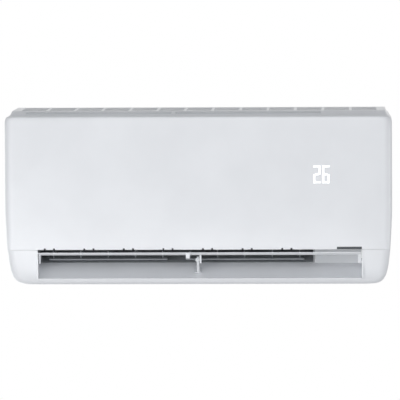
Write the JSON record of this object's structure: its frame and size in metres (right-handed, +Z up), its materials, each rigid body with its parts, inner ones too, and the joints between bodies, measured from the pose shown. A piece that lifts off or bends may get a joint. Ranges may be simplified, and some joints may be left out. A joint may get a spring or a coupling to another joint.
{
  "type": "wall-mounted air conditioner indoor unit",
  "caption": "White wall-mounted air conditioner indoor unit: lifting front panel, swinging louvre, side-to-side vanes, cross-flow fan, coil, pull-out filters and wall plate.",
  "frame": {"origin": "centre of the wall plate's back face, on the wall", "axes": "+X to the right seen from the front, +Y into the wall, +Z up; the unit faces -Y"},
  "size_m": [0.7, 0.205, 0.316],
  "materials": {
    "white_casing": "moulded white ABS, satin gloss",
    "white_inner": "moulded white HIPS, matt",
    "duct_grey": "moulded dark grey ABS, matt",
    "fan_black": "glass-filled black AS resin, matt",
    "fin_aluminium": "rolled aluminium fin stock, plain",
    "copper": "drawn copper tube, bright",
    "brass": "machined brass",
    "shaft_steel": "ground steel",
    "zinc_steel": "zinc-plated pressed steel",
    "rubber": "moulded black rubber, matt",
    "circuit_board": "green lacquered circuit board",
    "filter_mesh": "grey polypropylene frame with woven net"
  },
  "bodies": {
    "unit": {"wall_plate": "zinc_steel", "rear_chassis": "duct_grey", "front_frame": "white_casing", "duct_roof": "duct_grey", "drain_tray": "white_inner", "drain_cap": "rubber", "outlet_blanking_cover": "white_inner", "evaporator_front_lower": "fin_aluminium", "evaporator_front_upper": "fin_aluminium", "evaporator_rear": "fin_aluminium", "evaporator_end_left": "copper", "evaporator_end_right": "copper", "suction_pipe": "copper", "liquid_pipe": "copper", "suction_flare_nut": "brass", "liquid_flare_nut": "brass", "pipe_clamp": "duct_grey", "coil_sensor": "copper", "fan_bearing": "shaft_steel", "bearing_rubber": "rubber", "fan_motor": "zinc_steel", "motor_ring_left": "rubber", "motor_ring_right": "rubber", "motor_clamp": "white_inner", "electrical_box": "white_inner", "electrical_cover": "white_inner", "main_board": "circuit_board", "terminal_block": "rubber", "louvre_bush": "white_inner", "louvre_motor": "zinc_steel", "louvre_centre_support": "white_inner", "frame_screw_1": "zinc_steel", "frame_screw_2": "zinc_steel", "frame_screw_3": "zinc_steel"},
    "panel": {"front_panel": "white_casing", "display_housing": "white_inner", "display_board": "circuit_board"},
    "fan": {"cross_flow_fan": "fan_black", "fan_end_pin": "shaft_steel", "motor_shaft": "shaft_steel"},
    "louvre": {"louvre_blade": "white_casing", "louvre_drive_shaft": "shaft_steel"},
    "vane_1": {"vane_1": "duct_grey"},
    "vane_2": {"vane_2": "duct_grey"},
    "vane_3": {"vane_3": "duct_grey"},
    "vane_4": {"vane_4": "duct_grey"},
    "vane_5": {"vane_5": "duct_grey"},
    "vane_6": {"vane_6": "duct_grey"},
    "vane_7": {"vane_7": "duct_grey"},
    "vane_8": {"vane_8": "duct_grey"},
    "vane_9": {"vane_9": "duct_grey"},
    "vane_10": {"vane_10": "duct_grey"},
    "link_left": {"vane_link_left": "duct_grey"},
    "link_right": {"vane_link_right": "duct_grey"},
    "filter_left": {"filter_left": "filter_mesh"},
    "filter_right": {"filter_right": "filter_mesh"},
    "button": {"manual_button": "white_casing"}
  },
  "joints": [
    {"name": "panel_hinge", "type": "hinge", "parent": "unit", "child": "panel", "pos_m": [0, -0.188, 0.1055], "axis": [-1, 0, 0], "range_deg": [0, 70]},
    {"name": "fan_spin", "type": "hinge", "parent": "unit", "child": "fan", "pos_m": [0, -0.09264, -0.052], "axis": [1, 0, 0], "continuous": true},
    {"name": "louvre_swing", "type": "hinge", "parent": "unit", "child": "louvre", "pos_m": [0, -0.17301, -0.149], "axis": [1, 0, 0], "range_deg": [0, 118]},
    {"name": "link_left_slide", "type": "slide", "parent": "unit", "child": "link_left", "axis": [1, 0, 0], "range_m": [-0.0063, 0.0063]},
    {"name": "link_right_slide", "type": "slide", "parent": "unit", "child": "link_right", "axis": [1, 0, 0], "range_m": [-0.0063, 0.0063]},
    {"name": "vane_1_turn", "type": "hinge", "parent": "unit", "child": "vane_1", "pos_m": [-0.266, -0.14373, -0.09921], "axis": [0, -0.4617, 0.887], "range_deg": [-33.31, 33.31]},
    {"name": "vane_2_turn", "type": "hinge", "parent": "unit", "child": "vane_2", "pos_m": [-0.2162, -0.14373, -0.09921], "axis": [0, -0.4617, 0.887], "range_deg": [-33.31, 33.31]},
    {"name": "vane_3_turn", "type": "hinge", "parent": "unit", "child": "vane_3", "pos_m": [-0.1664, -0.14373, -0.09921], "axis": [0, -0.4617, 0.887], "range_deg": [-33.31, 33.31]},
    {"name": "vane_4_turn", "type": "hinge", "parent": "unit", "child": "vane_4", "pos_m": [-0.1166, -0.14373, -0.09921], "axis": [0, -0.4617, 0.887], "range_deg": [-33.31, 33.31]},
    {"name": "vane_5_turn", "type": "hinge", "parent": "unit", "child": "vane_5", "pos_m": [-0.0668, -0.14373, -0.09921], "axis": [0, -0.4617, 0.887], "range_deg": [-33.31, 33.31]},
    {"name": "vane_6_turn", "type": "hinge", "parent": "unit", "child": "vane_6", "pos_m": [-0.017, -0.14373, -0.09921], "axis": [0, -0.4617, 0.887], "range_deg": [-33.31, 33.31]},
    {"name": "vane_7_turn", "type": "hinge", "parent": "unit", "child": "vane_7", "pos_m": [0.0328, -0.14373, -0.09921], "axis": [0, -0.4617, 0.887], "range_deg": [-33.31, 33.31]},
    {"name": "vane_8_turn", "type": "hinge", "parent": "unit", "child": "vane_8", "pos_m": [0.0826, -0.14373, -0.09921], "axis": [0, -0.4617, 0.887], "range_deg": [-33.31, 33.31]},
    {"name": "vane_9_turn", "type": "hinge", "parent": "unit", "child": "vane_9", "pos_m": [0.1324, -0.14373, -0.09921], "axis": [0, -0.4617, 0.887], "range_deg": [-33.31, 33.31]},
    {"name": "vane_10_turn", "type": "hinge", "parent": "unit", "child": "vane_10", "pos_m": [0.1822, -0.14373, -0.09921], "axis": [0, -0.4617, 0.887], "range_deg": [-33.31, 33.31]},
    {"name": "filter_left_slide", "type": "slide", "parent": "unit", "child": "filter_left", "axis": [0, 0, 1], "range_m": [0, 0.19]},
    {"name": "filter_right_slide", "type": "slide", "parent": "unit", "child": "filter_right", "axis": [0, 0, 1], "range_m": [0, 0.19]},
    {"name": "button_press", "type": "slide", "parent": "unit", "child": "button", "axis": [0, 1, 0], "range_m": [0, 0.002], "stiffness_N_per_m": 400}
  ],
  "couplings": [
    {"joint": "vane_1_turn", "follows": "link_left_slide", "rad_per_m": 90.909},
    {"joint": "vane_2_turn", "follows": "link_left_slide", "rad_per_m": 90.909},
    {"joint": "vane_3_turn", "follows": "link_left_slide", "rad_per_m": 90.909},
    {"joint": "vane_4_turn", "follows": "link_left_slide", "rad_per_m": 90.909},
    {"joint": "vane_5_turn", "follows": "link_left_slide", "rad_per_m": 90.909},
    {"joint": "vane_6_turn", "follows": "link_right_slide", "rad_per_m": 90.909},
    {"joint": "vane_7_turn", "follows": "link_right_slide", "rad_per_m": 90.909},
    {"joint": "vane_8_turn", "follows": "link_right_slide", "rad_per_m": 90.909},
    {"joint": "vane_9_turn", "follows": "link_right_slide", "rad_per_m": 90.909},
    {"joint": "vane_10_turn", "follows": "link_right_slide", "rad_per_m": 90.909}
  ]
}
